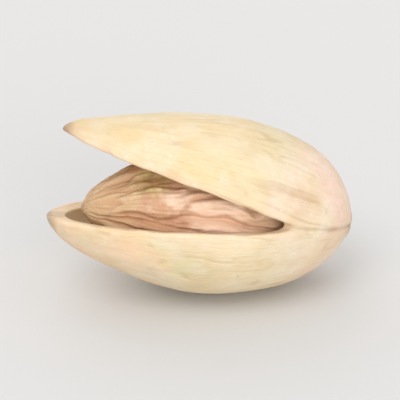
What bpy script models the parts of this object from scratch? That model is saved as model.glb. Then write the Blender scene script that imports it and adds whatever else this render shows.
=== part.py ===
"""A roasted pistachio in its naturally opened shell, lying on the back of its lower valve.

The nut is modelled in its own frame first: the stem end at +X, the split tip at -X, the seam
plane at z = 0, and the more open side of the split at -Y. It is then laid down: the tip raised,
the open side rolled up towards -Y, and a small flat spot under it.

World frame: +X along the nut to the stem end, +Z up, the origin under the middle of its box.
"""

import math
from typing import NamedTuple

import bmesh
import bpy
from mathutils import Matrix, Vector

MM = 0.001


class Egg(NamedTuple):
    """An egg along X. Each outline is sin(pi * s ** skew) ** fullness, s from stem end to tip."""

    length: float
    width: float
    upper_depth: float  # from the seam plane up
    lower_depth: float  # from the seam plane down
    width_outline: tuple
    upper_outline: tuple
    lower_outline: tuple
    beak: float = 0.0  # how strongly the tip is rounded out

    def thinned(self, side, ends):
        """The same egg with this much taken off every side, and off its length."""
        return self._replace(
            length=self.length - ends,
            width=self.width - 2.0 * side,
            upper_depth=self.upper_depth - side,
            lower_depth=self.lower_depth - side,
        )

    def radii(self, share):
        """Half width, depth up and depth down, at a share of the length from the stem end."""
        left = 1.0 - share
        rounding = self.beak * math.sqrt(left) * math.exp(-left / BEAK_LENGTH)
        return (
            self.width / 2.0 * outline(share, *self.width_outline) + rounding,
            self.upper_depth * outline(share, *self.upper_outline) + rounding,
            self.lower_depth * outline(share, *self.lower_outline) + rounding,
        )


BEAK_LENGTH = 0.10  # share of the length that a beak rounds out

# The outside of the closed nut, before its valves part
SHELL = Egg(
    length=21.0 * MM,
    width=13.0 * MM,
    upper_depth=5.6 * MM,
    lower_depth=5.85 * MM,
    width_outline=(0.83, 0.60),
    upper_outline=(0.655, 0.79),
    lower_outline=(0.76, 0.70),
    beak=2.2 * MM,
)
TIP_LEAN = 0.7 * MM  # the tip sits a little to the open side

# Wall
SIDE_WALL = 0.9 * MM
STEM_WALL = 1.3 * MM
TIP_WALL = 1.2 * MM

# Split: where it ends on each side, as a share of the length from the stem end
NEAR_SPLIT_END = 0.22
FAR_SPLIT_END = 0.38
VALVE_ANGLE = math.radians(9.1)  # how far each valve turns out
BEND_START = 3.0 * MM  # from the stem end, on the near side
BEND_LENGTH = 3.0 * MM
TIP_UPTURN = 1.1 * MM  # how strongly the upper valve curves up towards its tip
LIP_GAP = 0.3 * MM  # how far each lip stands back from the seam plane
LIP_DEPTH = 2.0 * MM
LIP_FADE = 1.5 * MM

# The loose seed
KERNEL = Egg(
    length=17.0 * MM,
    width=9.8 * MM,
    upper_depth=4.2 * MM,
    lower_depth=3.9 * MM,
    width_outline=(0.83, 0.55),
    upper_outline=(0.84, 0.54),
    lower_outline=(0.78, 0.60),
)
KERNEL_CENTRE = Vector((0.15, 0.0, -0.70)) * MM  # from the middle of the shell's length
KERNEL_TILT = math.radians(-8.0)  # its tip end lies down along the lower valve

# Resting pose
TIP_RAISED = math.radians(13.3)
OPEN_SIDE_UP = math.radians(12.0)
FLAT_SPOT_CUT = 0.12 * MM

SHELL_SEGMENTS, SHELL_RINGS = 36, 22
KERNEL_SEGMENTS, KERNEL_RINGS = 24, 16
ON_PLANE = 1e-6


def clear_scene():
    for obj in list(bpy.data.objects):
        bpy.data.objects.remove(obj)


def make_material(name, colour, roughness):
    material = bpy.data.materials.new(name)
    material.use_nodes = True
    shader = material.node_tree.nodes["Principled BSDF"]
    shader.inputs["Base Color"].default_value = (*colour, 1.0)
    shader.inputs["Roughness"].default_value = roughness
    shader.inputs["Metallic"].default_value = 0.0
    return material


def outline(share, skew, fullness):
    """Half height of an egg of unit half height, at a share of its length from the stem end."""
    return max(math.sin(math.pi * share**skew), 0.0) ** fullness


def add_egg(bm, egg, middle_x, segments, rings):
    """Adds an egg, poles at stem end and tip, and returns its vertices with their share along it."""
    to_x_axis = Matrix.Rotation(math.radians(90.0), 4, "Y")
    made = bmesh.ops.create_uvsphere(
        bm, u_segments=segments, v_segments=rings, radius=1.0, matrix=to_x_axis
    )
    shares = {}
    for vert in made["verts"]:
        along, across, up = vert.co
        share = min(max((1.0 - along) / 2.0, 0.0), 1.0)
        around = max(math.hypot(across, up), ON_PLANE)
        half_width, above, below = egg.radii(share)
        depth = above if up > 0.0 else below
        lean = -TIP_LEAN * share**3
        height = up / around * depth if abs(up) > ON_PLANE else 0.0
        place = (middle_x + along * egg.length / 2.0, across / around * half_width + lean, height)
        vert.co = place
        shares[vert] = share
    return shares


def split_seam(bm, shares):
    """Parts the egg along its seam, from each split end to the tip, and returns the open edges."""
    seam = []
    for edge in bm.edges:
        on_egg = edge.verts[0] in shares and edge.verts[1] in shares
        if not on_egg or any(vert.co.z != 0.0 for vert in edge.verts):
            continue
        middle_y = sum(vert.co.y + TIP_LEAN * shares[vert] ** 3 for vert in edge.verts)
        split_end = NEAR_SPLIT_END if middle_y < 0.0 else FAR_SPLIT_END
        if min(shares[vert] for vert in edge.verts) > split_end:
            seam.append(edge)
    return bmesh.ops.split_edges(bm, edges=seam)["edges"]


def valve_side(vert):
    """+1 on the upper valve, -1 on the lower, 0 where the seam has stayed joined."""
    if vert.co.z != 0.0:
        return math.copysign(1.0, vert.co.z)
    heights = [face.calc_center_median().z for face in vert.link_faces]
    joined = min(heights) < 0.0 < max(heights)
    return 0.0 if joined else math.copysign(1.0, heights[0])


def open_valves(bm):
    """Bends each valve out from the joined stem end, a little less on the far side."""
    stem_x = SHELL.length / 2.0
    split_lag = (FAR_SPLIT_END - NEAR_SPLIT_END) * SHELL.length
    moves = []
    for vert in bm.verts:
        side = valve_side(vert)
        if side == 0.0:
            continue
        towards_far = min(max(vert.co.y / SHELL.width + 0.5, 0.0), 1.0)
        past_bend = stem_x - vert.co.x - BEND_START - split_lag * towards_far
        if past_bend < BEND_LENGTH:
            bent = max(past_bend, 0.0) ** 2 / (2.0 * BEND_LENGTH)
        else:
            bent = past_bend - BEND_LENGTH / 2.0
        near_seam = math.exp(-((vert.co.z / LIP_DEPTH) ** 2))
        past_split = stem_x - vert.co.x - NEAR_SPLIT_END * SHELL.length - split_lag * towards_far
        lip = LIP_GAP * near_seam * (1.0 - math.exp(-max(past_split, 0.0) / LIP_FADE))
        rise = math.tan(VALVE_ANGLE) * bent + lip
        if side > 0.0:
            rise += TIP_UPTURN * (max(past_bend, 0.0) / SHELL.length) ** 3
        moves.append((vert, side * rise))
    for vert, rise in moves:
        vert.co.z += rise


def open_edges(bm):
    return [edge for edge in bm.edges if edge.is_boundary]


def lay_down(bm):
    """Turns the nut from its own frame to the pose it rests in."""
    raise_tip = Matrix.Rotation(TIP_RAISED, 4, "Y")
    roll_open_side = Matrix.Rotation(-OPEN_SIDE_UP, 4, "X")
    bmesh.ops.transform(bm, matrix=roll_open_side @ raise_tip, verts=bm.verts)


def cut_flat_spot(bm):
    """Takes a thin slice off the belly of the lower valve and returns its height."""
    height = min(vert.co.z for vert in bm.verts) + FLAT_SPOT_CUT
    bmesh.ops.bisect_plane(
        bm,
        geom=bm.verts[:] + bm.edges[:] + bm.faces[:],
        plane_co=(0.0, 0.0, height),
        plane_no=(0.0, 0.0, -1.0),
        clear_outer=True,
    )
    bmesh.ops.edgeloop_fill(bm, edges=open_edges(bm))
    return height


def build_shell():
    """The shell, as a closed wall that opens through the split, with its flat spot at height 0."""
    bm = bmesh.new()
    outer = add_egg(bm, SHELL, 0.0, SHELL_SEGMENTS, SHELL_RINGS)
    split_seam(bm, outer)
    outer_faces = set(bm.faces)
    hollow = SHELL.thinned(SIDE_WALL, STEM_WALL + TIP_WALL)
    inner = add_egg(bm, hollow, (TIP_WALL - STEM_WALL) / 2.0, SHELL_SEGMENTS, SHELL_RINGS)
    split_seam(bm, inner)
    inner_faces = [face for face in bm.faces if face not in outer_faces]
    bmesh.ops.reverse_faces(bm, faces=inner_faces)
    open_valves(bm)
    bmesh.ops.bridge_loops(bm, edges=open_edges(bm))
    bmesh.ops.recalc_face_normals(bm, faces=bm.faces)
    lay_down(bm)
    floor = cut_flat_spot(bm)
    return bm, floor


def build_kernel():
    """The loose seed, in the hollow of the lower valve."""
    bm = bmesh.new()
    add_egg(bm, KERNEL, 0.0, KERNEL_SEGMENTS, KERNEL_RINGS)
    place = Matrix.Translation(KERNEL_CENTRE) @ Matrix.Rotation(KERNEL_TILT, 4, "Y")
    bmesh.ops.transform(bm, matrix=place, verts=bm.verts)
    lay_down(bm)
    return bm


def add_object(name, bm, material, collection):
    mesh = bpy.data.meshes.new(name)
    bm.to_mesh(mesh)
    bm.free()
    mesh.materials.append(material)
    mesh.shade_smooth()
    mesh.set_sharp_from_angle(angle=math.radians(40.0))
    obj = bpy.data.objects.new(name, mesh)
    collection.objects.link(obj)
    return obj


def main():
    clear_scene()
    collection = bpy.data.collections.new("pistachio_in_shell")
    bpy.context.scene.collection.children.link(collection)
    shell_bm, floor = build_shell()
    kernel_bm = build_kernel()
    low_x, high_x = min(v.co.x for v in shell_bm.verts), max(v.co.x for v in shell_bm.verts)
    low_y, high_y = min(v.co.y for v in shell_bm.verts), max(v.co.y for v in shell_bm.verts)
    to_floor = Vector((-(low_x + high_x) / 2.0, -(low_y + high_y) / 2.0, -floor))
    for bm in (shell_bm, kernel_bm):
        bmesh.ops.translate(bm, vec=to_floor, verts=bm.verts)
    shell_finish = make_material("shell_wood", (0.83, 0.67, 0.44), 0.6)
    kernel_finish = make_material("kernel_skin", (0.55, 0.28, 0.18), 0.55)
    add_object("shell", shell_bm, shell_finish, collection)
    add_object("kernel", kernel_bm, kernel_finish, collection)


main()
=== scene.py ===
"""Looks of a roasted pistachio in its naturally opened shell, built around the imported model.

The nut is shaped in its own frame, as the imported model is: stem end at +X, split tip at -X, seam
plane at z = 0 and the more open side of the split at -Y. It is then laid down on its flat spot.
"""

import logging
import math
from collections.abc import Iterator
from contextlib import contextmanager
from dataclasses import dataclass, replace
from enum import Enum
from typing import Any

import bpy
import numpy as np
from mathutils import Matrix, Vector, noise


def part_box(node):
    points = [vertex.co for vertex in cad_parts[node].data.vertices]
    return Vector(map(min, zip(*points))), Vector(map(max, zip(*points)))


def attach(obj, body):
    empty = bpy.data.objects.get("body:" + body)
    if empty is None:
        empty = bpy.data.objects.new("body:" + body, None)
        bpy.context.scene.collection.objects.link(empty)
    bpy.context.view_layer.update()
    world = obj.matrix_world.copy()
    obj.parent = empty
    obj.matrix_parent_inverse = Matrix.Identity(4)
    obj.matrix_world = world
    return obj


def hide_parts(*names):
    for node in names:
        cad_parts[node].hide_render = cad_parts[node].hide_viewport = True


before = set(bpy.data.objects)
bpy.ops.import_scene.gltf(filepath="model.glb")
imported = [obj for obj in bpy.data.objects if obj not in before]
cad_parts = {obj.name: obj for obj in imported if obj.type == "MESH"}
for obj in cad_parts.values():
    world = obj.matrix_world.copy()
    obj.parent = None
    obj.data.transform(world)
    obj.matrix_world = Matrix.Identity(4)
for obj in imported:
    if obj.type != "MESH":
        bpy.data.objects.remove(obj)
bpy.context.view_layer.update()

MM = 0.001
NEARLY_ZERO = 1e-6
BODY = "root"

# The curve between a colour's number, up to 255, and the light it stands for
FULL_NUMBER = 255.0
CURVE_OFFSET = 0.055
CURVE_POWER = 2.4

# Noise on meshes: how fast its finer layers fade, how much finer each is than the one before,
# how far apart two seeds are sampled, and how many layers bend the lines of a net
NOISE_FADE = 1.0
NOISE_FINER = 2.0
SEED_STEP = Vector((7.31, 3.77, 5.19))
NET_OCTAVES = 2

Colour = tuple[float, float, float, float]
Outline = tuple[float, float]
Span = tuple[float, float]

log = logging.getLogger("pistachio")


# ---------------------------------------------------------------- numbers


def paint(red: int, green: int, blue: int) -> Colour:
    """Turns a colour as a paint chip states it into the linear one that a shader takes.

    Args:
        red: Red, 0 to 255.
        green: Green, 0 to 255.
        blue: Blue, 0 to 255.

    Returns:
        The linear colour, with full alpha.
    """
    shares = [part / FULL_NUMBER for part in (red, green, blue)]
    linear = [((share + CURVE_OFFSET) / (1.0 + CURVE_OFFSET)) ** CURVE_POWER for share in shares]
    return (*linear, 1.0)


def ramp(values: np.ndarray, low: float, high: float) -> np.ndarray:
    """Runs smoothly from 0 at one value to 1 at another.

    Args:
        values: The numbers to map.
        low: Where the result is 0.
        high: Where the result is 1; it may be the smaller of the two.

    Returns:
        A number from 0 to 1 for each value.
    """
    share = np.clip((values - low) / (high - low), 0.0, 1.0)
    return share * share * (3.0 - 2.0 * share)


def bell(distance: np.ndarray, width: float) -> np.ndarray:
    """Returns 1 where the distance is 0, falling off softly over that width on either side."""
    return np.exp(-((distance / width) ** 2))


def wander(points: np.ndarray, octaves: int, seed: int) -> np.ndarray:
    """Samples fractal noise whose longest waves are about one unit long.

    Args:
        points: One row of three coordinates for each sample, already in units of the wave.
        octaves: How many layers of finer waves it has.
        seed: Picks another part of the same noise.

    Returns:
        A number, mostly from -1 to 1, for each point.
    """
    shift = SEED_STEP * seed
    rows = (Vector(point) + shift for point in points.tolist())
    return np.array([noise.fractal(row, NOISE_FADE, NOISE_FINER, octaves) for row in rows])


# ---------------------------------------------------------------- mesh work


def select_only(obj: bpy.types.Object) -> None:
    """Makes one object the only selected one, and the active one.

    Args:
        obj: The object.
    """
    bpy.ops.object.select_all(action="DESELECT")
    obj.select_set(True)
    bpy.context.view_layer.objects.active = obj


@contextmanager
def editing(obj: bpy.types.Object, edges: np.ndarray | None = None) -> Iterator[None]:
    """Opens an object in edit mode, by edges, and returns to object mode afterwards.

    Args:
        obj: The object to edit.
        edges: True for each edge to select; everything is selected without it.

    Yields:
        Nothing: the edit operators act on the selection.
    """
    select_only(obj)
    mesh = obj.data
    chosen = np.ones(len(mesh.edges), bool) if edges is None else edges
    mesh.vertices.foreach_set("select", np.zeros(len(mesh.vertices), bool))
    mesh.polygons.foreach_set("select", np.zeros(len(mesh.polygons), bool))
    mesh.edges.foreach_set("select", chosen)
    bpy.context.tool_settings.mesh_select_mode = (False, True, False)
    bpy.ops.object.mode_set(mode="EDIT")
    if edges is None:
        bpy.ops.mesh.select_all(action="SELECT")
    yield
    bpy.ops.object.mode_set(mode="OBJECT")


def points_of(obj: bpy.types.Object) -> np.ndarray:
    """Reads where an object's vertices are.

    Args:
        obj: The object.

    Returns:
        Their places, one row each.
    """
    flat = np.empty(len(obj.data.vertices) * 3)
    obj.data.vertices.foreach_get("co", flat)
    return flat.reshape(-1, 3)


def normals_of(obj: bpy.types.Object) -> np.ndarray:
    """Reads which way an object's vertices face.

    Args:
        obj: The object.

    Returns:
        Their normals, one row each.
    """
    flat = np.empty(len(obj.data.vertices) * 3)
    obj.data.vertex_normals.foreach_get("vector", flat)
    return flat.reshape(-1, 3)


def move_points(obj: bpy.types.Object, points: np.ndarray) -> None:
    """Puts an object's vertices at the given places."""
    obj.data.vertices.foreach_set("co", points.ravel())
    obj.data.update()


def store(obj: bpy.types.Object, name: str, values: np.ndarray) -> None:
    """Keeps a number or a vector for each vertex, as an attribute of the mesh.

    Args:
        obj: The object whose mesh takes the attribute.
        name: The attribute's name.
        values: One number, or one row of three, for each vertex.
    """
    is_vector = values.ndim == 2
    kind = "FLOAT_VECTOR" if is_vector else "FLOAT"
    made = obj.data.attributes.get(name) or obj.data.attributes.new(name, kind, "POINT")
    made.data.foreach_set("vector" if is_vector else "value", values.astype(np.float32).ravel())


def recall(obj: bpy.types.Object, name: str) -> np.ndarray:
    """Reads the values that store kept.

    Args:
        obj: The object whose mesh holds the attribute.
        name: The attribute's name.

    Returns:
        One number, or one row of three, for each vertex.
    """
    kept = obj.data.attributes[name]
    is_vector = kept.data_type == "FLOAT_VECTOR"
    flat = np.empty(len(kept.data) * (3 if is_vector else 1), np.float32)
    kept.data.foreach_get("vector" if is_vector else "value", flat)
    return flat.reshape(-1, 3).astype(float) if is_vector else flat.astype(float)


def smooth_surface(obj: bpy.types.Object, levels: int) -> None:
    """Subdivides an object's surface smoothly, and shades it smooth.

    Args:
        obj: The object.
        levels: How many times each face is divided.
    """
    select_only(obj)
    bpy.ops.object.modifier_add(type="SUBSURF")
    modifier = obj.modifiers[-1]
    modifier.levels = levels
    modifier.render_levels = levels
    bpy.ops.object.modifier_apply(modifier=modifier.name)
    bpy.ops.object.shade_smooth()


# ---------------------------------------------------------------- shapes


@dataclass(frozen=True)
class Egg:
    """An egg along X. Each outline is sin(pi * s ** skew) ** fullness, s from stem end to tip.

    Attributes:
        length: From the stem end to the tip.
        width: Across, along the seam plane.
        upper_depth: From the seam plane up.
        lower_depth: From the seam plane down.
        width_outline: Skew and fullness of the width.
        upper_outline: Skew and fullness of the upper depth.
        lower_outline: Skew and fullness of the lower depth.
        middle_x: The middle of its length.
        lean: How far the tip sits towards -Y.
        beak: How much the tip is rounded out.
        beak_length: The share of the length that the beak rounds out.
        grain_closing: How near the axis the lines of the grain run together.
    """

    length: float
    width: float
    upper_depth: float
    lower_depth: float
    width_outline: Outline
    upper_outline: Outline
    lower_outline: Outline
    middle_x: float = 0.0
    lean: float = 0.7 * MM
    beak: float = 0.0
    beak_length: float = 0.10
    grain_closing: float = 0.4 * MM

    def outline(self, share: np.ndarray, form: Outline) -> np.ndarray:
        """Returns the height of a unit outline at shares of the length from the stem end."""
        skew, fullness = form
        return np.maximum(np.sin(np.pi * share**skew), 0.0) ** fullness

    def share_at(self, x: np.ndarray) -> np.ndarray:
        """Returns shares of the length, 0 at the stem end and 1 at the tip, for places along X."""
        return np.clip((self.middle_x + self.length / 2.0 - x) / self.length, 0.0, 1.0)

    def radii(self, share: np.ndarray) -> tuple[np.ndarray, np.ndarray, np.ndarray]:
        """Works out the egg's half width and its two depths.

        Args:
            share: Shares of the length from the stem end.

        Returns:
            The half width, the depth upwards and the depth downwards, at each share.
        """
        left = 1.0 - share
        rounding = self.beak * np.sqrt(left) * np.exp(-left / self.beak_length)
        return (
            self.width / 2.0 * self.outline(share, self.width_outline) + rounding,
            self.upper_depth * self.outline(share, self.upper_outline) + rounding,
            self.lower_depth * self.outline(share, self.lower_outline) + rounding,
        )

    def wrap(self, ball: np.ndarray) -> np.ndarray:
        """Lays the points of a ball about the origin onto the egg.

        Args:
            ball: The points, one row each, at any distance from the origin.

        Returns:
            Where each point lies on the egg; a point on the seam plane has a height of exactly 0.
        """
        along, across, up = (ball / np.linalg.norm(ball, axis=1, keepdims=True)).T
        share = np.clip((1.0 - along) / 2.0, 0.0, 1.0)
        around = np.maximum(np.hypot(across, up), NEARLY_ZERO)
        half_width, above, below = self.radii(share)
        depth = np.where(up > 0.0, above, below)
        height = np.where(np.abs(up) > NEARLY_ZERO, up / around * depth, 0.0)
        x = self.middle_x + along * self.length / 2.0
        return np.column_stack((x, across / around * half_width - self.lean * share**3, height))

    def bearings(self, points: np.ndarray) -> tuple[np.ndarray, np.ndarray]:
        """Finds how points stand on the egg.

        Args:
            points: Places on or near the closed egg.

        Returns:
            The share of the length, and a unit direction around the egg's axis, one row each.
        """
        share = self.share_at(points[:, 0])
        half_width, above, below = self.radii(share)
        depth = np.where(points[:, 2] > 0.0, above, below)
        across = (points[:, 1] + self.lean * share**3) / np.maximum(half_width, NEARLY_ZERO)
        up = points[:, 2] / np.maximum(depth, NEARLY_ZERO)
        around = np.maximum(np.hypot(across, up), NEARLY_ZERO)
        return share, np.column_stack((across / around, up / around))

    def grain(self, points: np.ndarray, around: float, lengthwise: float) -> np.ndarray:
        """Gives coordinates that run with the egg's meridians, for lines from end to end.

        Args:
            points: Places on or near the closed egg.
            around: The radius of the ring that the egg's girth is laid on.
            lengthwise: How many units its length is laid on.

        Returns:
            One row of three coordinates for each point.
        """
        share, heading = self.bearings(points)
        off_axis = np.hypot(points[:, 1] + self.lean * share**3, points[:, 2])
        closing = 1.0 - bell(off_axis, self.grain_closing)
        return np.column_stack((heading * around * closing[:, None], share * lengthwise))


@dataclass(frozen=True)
class Ripple:
    """Uneven heights over a mesh.

    Attributes:
        length: How long the longest waves are.
        octaves: How many layers of finer waves there are.
        seed: Picks another part of the same noise.
    """

    length: float
    octaves: int
    seed: int

    def at(self, points: np.ndarray) -> np.ndarray:
        """Returns a number, mostly from -1 to 1, for each point."""
        return wander(points / self.length, self.octaves, self.seed)


@dataclass(frozen=True)
class Places:
    """Scattered places on a mesh, where a ripple is high enough.

    Attributes:
        ripple: The ripple.
        edge: The height where a place starts, and where it is full.
    """

    ripple: Ripple
    edge: Span

    def at(self, points: np.ndarray) -> np.ndarray:
        """Returns 1 for each point that lies well inside a place, and 0 outside."""
        return ramp(self.ripple.at(points), *self.edge)


@dataclass(frozen=True)
class Net:
    """A net of thin lines that run with an egg's grain.

    Attributes:
        around: The radius of the ring that the girth is laid on, in spacings of the lines.
        lengthwise: How many spacings the length is laid on.
        sway: How far the swellings push the lines aside.
        width: Half the width of a line, in the noise's own height.
        seed: Picks another net.
    """

    around: float
    lengthwise: float
    sway: float
    width: float
    seed: int

    def at(self, egg: Egg, points: np.ndarray, swell: np.ndarray) -> np.ndarray:
        """Samples the net.

        Args:
            egg: The egg that the lines follow.
            points: Places on or near the closed egg.
            swell: The swellings there.

        Returns:
            For each point, 1 along a line and 0 between the lines.
        """
        swayed = egg.grain(points, self.around, self.lengthwise) + self.sway * swell[:, None]
        return ramp(np.abs(wander(swayed, NET_OCTAVES, self.seed)), self.width, 0.0)


def model_ball(name: str, cuts: int) -> bpy.types.Object:
    """Models a ball of even four-sided faces, with a loop of edges on each main plane.

    Args:
        name: The new object's name.
        cuts: How many cuts each edge of the first cube gets; an odd number.

    Returns:
        The ball, about the origin.
    """
    bpy.ops.object.select_all(action="DESELECT")
    bpy.ops.mesh.primitive_cube_add(size=2.0)
    ball = bpy.context.active_object
    ball.name = ball.data.name = name
    with editing(ball):
        bpy.ops.mesh.subdivide(number_cuts=cuts)
    points = points_of(ball)
    move_points(ball, np.tan(points * math.pi / 4.0))
    return ball


class Skin(Enum):
    """The two skins of the shell's wall, with the value that marks each."""

    OUTER = 0.0
    INNER = 1.0


@dataclass(frozen=True)
class LyingPose:
    """How the nut lies: its tip raised, its open side up, on a small flat spot.

    Attributes:
        tip_raised: The turn that raises the tip.
        open_side_up: The roll that raises the open side.
        flat_spot: How far the belly is flattened.
    """

    tip_raised: float = math.radians(13.3)
    open_side_up: float = math.radians(12.0)
    flat_spot: float = 0.12 * MM

    def turn(self) -> Matrix:
        """Returns the turn from the nut's own frame to the pose."""
        raised = Matrix.Rotation(self.tip_raised, 4, "Y")
        return Matrix.Rotation(-self.open_side_up, 4, "X") @ raised

    def lay(self, obj: bpy.types.Object, shift: Vector) -> None:
        """Turns an object into the pose, moves it, and applies both to its mesh.

        Args:
            obj: The object, still in the nut's own frame.
            shift: How far it is then moved.
        """
        select_only(obj)
        obj.matrix_world = Matrix.Translation(shift) @ self.turn()
        bpy.ops.object.transform_apply(location=True, rotation=True, scale=True)


@dataclass(frozen=True)
class Wall:
    """How thick the shell is.

    Attributes:
        side: At its sides.
        stem: At the stem end.
        tip: At the tip.
        middle: The mark half-way through it, between the marks of its skins.
    """

    side: float = 0.9 * MM
    stem: float = 1.3 * MM
    tip: float = 1.2 * MM
    middle: float = 0.5


@dataclass(frozen=True)
class Opening:
    """How the valves part.

    Attributes:
        near_end: Where the split ends on the open side, as a share of the length.
        far_end: Where it ends on the far side.
        valve_angle: How far each valve turns out.
        bend_start: Where the valves start to bend, from the stem end.
        bend_length: How long they bend.
        tip_upturn: How strongly the upper valve curves up towards its tip.
    """

    near_end: float = 0.22
    far_end: float = 0.38
    valve_angle: float = math.radians(9.1)
    bend_start: float = 3.0 * MM
    bend_length: float = 3.0 * MM
    tip_upturn: float = 1.1 * MM


@dataclass(frozen=True)
class Lips:
    """The free edges of the valves.

    Attributes:
        gap: How far each stands back from the seam plane.
        depth: How far from the seam plane the gap and the waves reach.
        fade: How far past the end of the split the gap opens.
        parting: How far past the end of the split the lips are fully apart.
        roll: How far their rounded edge stands out.
        roll_depth: How far from the seam plane the roll reaches.
        wave: How far they wave up and down.
        wave_ripple: How they wave.
        wave_axes: How much of each axis the waves follow.
        rim_cuts: Cuts across the rim of the wall.
        rim_height: How rough the rim is.
        rim_ripple: How its roughness runs.
    """

    gap: float = 0.3 * MM
    depth: float = 2.0 * MM
    fade: float = 1.5 * MM
    parting: float = 1.2 * MM
    roll: float = 0.07 * MM
    roll_depth: float = 0.55 * MM
    wave: float = 0.16 * MM
    wave_ripple: Ripple = Ripple(3.2 * MM, 2, 9)
    wave_axes: tuple[float, float, float] = (1.0, 0.35, 0.0)
    rim_cuts: int = 2
    rim_height: float = 0.05 * MM
    rim_ripple: Ripple = Ripple(0.7 * MM, 3, 8)


@dataclass(frozen=True)
class Seam:
    """The closed seam, from the end of the split round the stem end.

    Attributes:
        groove: Depth of its groove.
        width: Half the width of the groove.
        sway: How far the groove sways from the seam plane.
        sway_ripple: How it sways.
        fading: How much of the groove is lost where it fades.
        clear: Where it doesn't fade.
        ridge: Height of the soft ridge along it.
        ridge_width: Half the width of the ridge.
        ridge_start: Shares of the length over which the ridge rises.
    """

    groove: float = 0.10 * MM
    width: float = 0.15 * MM
    sway: float = 0.10 * MM
    sway_ripple: Ripple = Ripple(1.3 * MM, 2, 6)
    fading: float = 0.45
    clear: Places = Places(Ripple(1.8 * MM, 2, 11), (-0.3, 0.4))
    ridge: float = 0.06 * MM
    ridge_width: float = 0.75 * MM
    ridge_start: Span = (0.0, 0.15)

    def groove_at(self, closed: np.ndarray) -> np.ndarray:
        """Returns 1 in the middle of the groove and 0 beside it, for each point."""
        away = np.abs(closed[:, 2]) + self.sway * self.sway_ripple.at(closed)
        return bell(away, self.width) * (1.0 - self.fading + self.fading * self.clear.at(closed))

    def ridge_at(self, closed: np.ndarray, share: np.ndarray) -> np.ndarray:
        """Returns 1 on top of the ridge and 0 beside it, for each point."""
        return bell(closed[:, 2], self.ridge_width) * ramp(share, *self.ridge_start)


@dataclass(frozen=True)
class Veins:
    """Thin sunken lines from end to end, broken here and there.

    Attributes:
        depth: How deep they are.
        net: Their pattern.
        stem_fade: Shares of the length over which they start.
        tip_fade: Shares of the length over which they run out towards the tip.
        unbroken: Where they aren't broken.
    """

    depth: float = 0.045 * MM
    net: Net = Net(around=4.2, lengthwise=1.5, sway=0.22, width=0.12, seed=3)
    stem_fade: Span = (0.03, 0.14)
    tip_fade: Span = (0.95, 0.45)
    unbroken: Places = Places(Ripple(3.2 * MM, 1, 4), (-0.30, 0.35))

    def at(self, egg: Egg, closed: np.ndarray, share: np.ndarray, swell: np.ndarray) -> np.ndarray:
        """Samples the veins.

        Args:
            egg: The egg that they follow.
            closed: Places on the closed egg.
            share: Their shares of the length.
            swell: The swellings there.

        Returns:
            For each point, 1 along a vein and 0 between the veins.
        """
        reach = ramp(share, *self.tip_fade) * ramp(share, *self.stem_fade)
        return self.net.at(egg, closed, swell) * reach * self.unbroken.at(closed)


@dataclass(frozen=True)
class Scar:
    """The soft rough scar at the stem end, with a moat round it and a pore in it.

    Attributes:
        height: How far it stands out.
        edge: The distance from the axis where it starts, and where it is full.
        oval: How its distances across and up are weighed.
        end: Shares of the length between which it starts and is full.
        ragged: How far its edge strays.
        ragged_ripple: How its edge strays.
        fibre: How much its height changes from fibre to fibre.
        fibre_ripple: How its fibres run.
        moat: Depth of the moat.
        moat_radius: The moat's distance from the axis.
        moat_width: Half the width of the moat.
        pore: Depth of the pore.
        pore_width: Half the width of the pore.
        pore_place: Where the pore lies, across and up.
        pore_ragged: How much of the edge's straying the pore follows.
    """

    height: float = 0.10 * MM
    edge: Span = (1.32 * MM, 0.66 * MM)
    oval: tuple[float, float] = (0.82, 1.15)
    end: Span = (0.08, 0.02)
    ragged: float = 0.42 * MM
    ragged_ripple: Ripple = Ripple(1.1 * MM, 3, 7)
    fibre: float = 0.6
    fibre_ripple: Ripple = Ripple(0.45 * MM, 2, 10)
    moat: float = 0.035 * MM
    moat_radius: float = 1.485 * MM
    moat_width: float = 0.30 * MM
    pore: float = 0.22 * MM
    pore_width: float = 0.30 * MM
    pore_place: tuple[float, float] = (0.22 * MM, -0.15 * MM)
    pore_ragged: float = 0.6

    def at(self, closed: np.ndarray, share: np.ndarray) -> tuple[np.ndarray, np.ndarray, np.ndarray]:
        """Samples the scar.

        Args:
            closed: Places on the closed shell.
            share: Their shares of the length.

        Returns:
            The scar, the moat and the pore: for each point, 1 where it is full and 0 outside it.
        """
        at_end = ramp(share, *self.end)
        ragged = self.ragged * self.ragged_ripple.at(closed)
        away = np.linalg.norm(closed[:, 1:] * self.oval, axis=1) + ragged
        scar = ramp(away, *self.edge)
        moat = bell(away - self.moat_radius, self.moat_width)
        from_pore = np.linalg.norm(closed[:, 1:] - self.pore_place, axis=1)
        from_pore = np.maximum(from_pore + self.pore_ragged * ragged, 0.0)
        return scar * at_end, moat * at_end, bell(from_pore, self.pore_width) * at_end

    def fibres_at(self, closed: np.ndarray) -> np.ndarray:
        """Returns how high the fibres stand, about 1, for each point."""
        return 1.0 + self.fibre * self.fibre_ripple.at(closed)


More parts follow.
